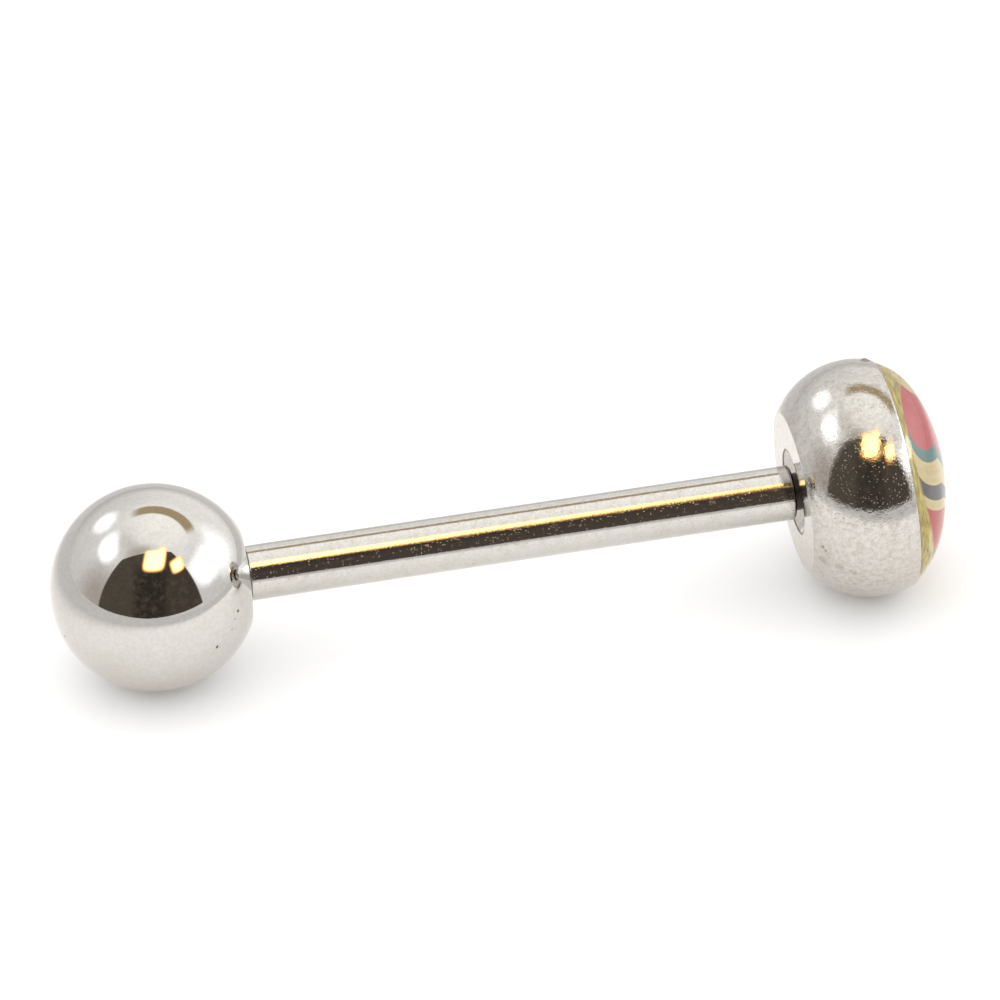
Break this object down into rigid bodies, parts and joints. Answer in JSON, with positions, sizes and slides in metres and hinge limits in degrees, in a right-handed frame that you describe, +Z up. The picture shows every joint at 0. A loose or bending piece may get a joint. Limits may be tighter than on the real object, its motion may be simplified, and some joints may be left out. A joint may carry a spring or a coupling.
{
  "type": "tongue barbell with a domed picture end",
  "caption": "Straight steel tongue barbell with a plain ball on one end and, on the other, a screw-on picture end under a clear dome.",
  "frame": {"origin": "middle of the base: the barbell lies on Z = 0, on the ball and on the widest part of the picture end", "axes": "+X from the plain ball to the picture end, +Y across, +Z up; the bar rises by 1 degree towards +X, because the picture end is wider than the ball"},
  "size_m": [0.0262, 0.007, 0.007],
  "materials": {
    "bar_steel": "polished stainless steel with a fine grain round the bar",
    "ball_steel": "mirror-polished stainless steel with a few fine pits",
    "holder_steel": "polished stainless steel, mottled and slightly pitted",
    "printed_picture": "printed disc in gold, red, navy, cream and teal",
    "clear_resin": "clear glossy cast resin"
  },
  "bodies": {
    "bar_and_ball": {"bar": "bar_steel", "ball": "ball_steel"},
    "picture_end": {"picture_holder": "holder_steel", "picture": "printed_picture", "dome": "clear_resin"}
  },
  "joints": [
    {"name": "picture_end_unscrews", "type": "slide", "parent": "bar_and_ball", "child": "picture_end", "axis": [0.9998, 0, 0.0176], "range_m": [0, 0.01]}
  ]
}
